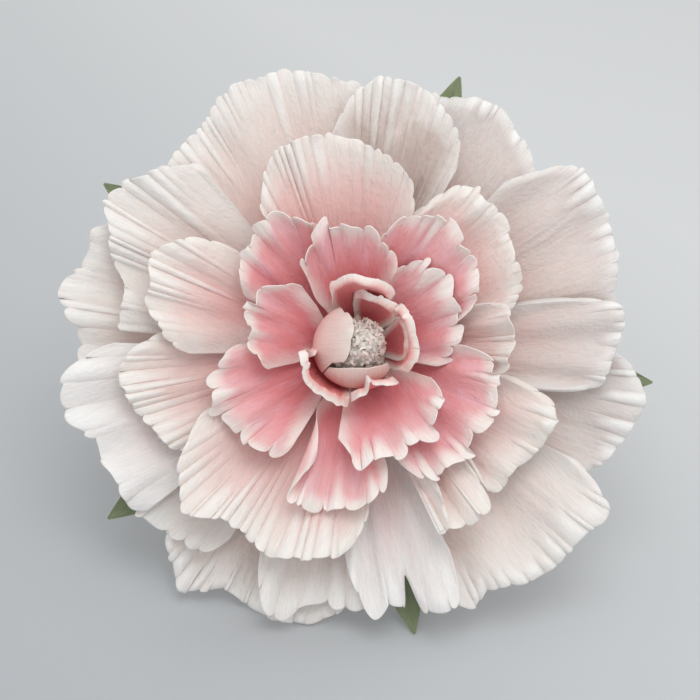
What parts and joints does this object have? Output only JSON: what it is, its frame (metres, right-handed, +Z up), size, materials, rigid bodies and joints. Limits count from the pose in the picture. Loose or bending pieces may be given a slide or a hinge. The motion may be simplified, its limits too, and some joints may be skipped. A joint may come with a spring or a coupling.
{
  "type": "crepe paper peony",
  "caption": "Giant crepe paper peony: fluted ivory guard petals, notched pink heart petals, crumpled stamens and green sepals on a wrapped dowel stem, lying on its side.",
  "frame": {"origin": "bottom centre of the bounding box, on the floor that the flower lies on", "axes": "+Z up, +X across the bloom to the right as one looks into it, -Y the way the bloom faces, which also leans up by the tilt of the stem"},
  "size_m": [0.6006, 0.5302, 0.4921],
  "materials": {
    "ivory_crepe": "matte crepe, ivory white, fluted rim",
    "blush_crepe": "matte crepe, blush pink fading to white",
    "rose_crepe": "matte crepe, coral rose with cream cut edges",
    "leaf_crepe": "matte crepe, sage green",
    "stamen_paper": "crumpled crepe, cream",
    "core_paper": "wadded paper",
    "dowel_wood": "raw turned wood"
  },
  "bodies": {
    "root": {"bud_petal_1": "blush_crepe", "bud_petal_2": "blush_crepe", "bud_petal_3": "blush_crepe", "bud_petal_4": "blush_crepe", "throat_petal_1": "rose_crepe", "throat_petal_2": "rose_crepe", "throat_petal_3": "rose_crepe", "throat_petal_4": "rose_crepe", "heart_petal_front_1": "rose_crepe", "heart_petal_front_2": "rose_crepe", "heart_petal_front_3": "rose_crepe", "heart_petal_back_1": "rose_crepe", "heart_petal_back_2": "rose_crepe", "heart_petal_back_3": "rose_crepe", "frill_petal_1": "rose_crepe", "frill_petal_2": "rose_crepe", "frill_petal_3": "rose_crepe", "cup_petal_front_1": "blush_crepe", "cup_petal_front_2": "blush_crepe", "cup_petal_front_3": "blush_crepe", "cup_petal_front_4": "blush_crepe", "cup_petal_front_5": "blush_crepe", "cup_petal_back_1": "blush_crepe", "cup_petal_back_2": "blush_crepe", "cup_petal_back_3": "blush_crepe", "guard_petal_front_1": "ivory_crepe", "guard_petal_front_2": "ivory_crepe", "guard_petal_front_3": "ivory_crepe", "guard_petal_front_4": "ivory_crepe", "guard_petal_front_5": "ivory_crepe", "guard_petal_middle_1": "ivory_crepe", "guard_petal_middle_2": "ivory_crepe", "guard_petal_middle_3": "ivory_crepe", "guard_petal_middle_4": "ivory_crepe", "guard_petal_middle_5": "ivory_crepe", "guard_petal_back_1": "ivory_crepe", "guard_petal_back_2": "ivory_crepe", "guard_petal_back_3": "ivory_crepe", "guard_petal_back_4": "ivory_crepe", "sepal_1": "leaf_crepe", "sepal_2": "leaf_crepe", "sepal_3": "leaf_crepe", "sepal_4": "leaf_crepe", "sepal_5": "leaf_crepe", "stamen_cluster": "stamen_paper", "petal_core": "core_paper", "stem_dowel": "dowel_wood", "stem_wrap": "leaf_crepe", "stem_collar": "leaf_crepe"}
  },
  "joints": []
}
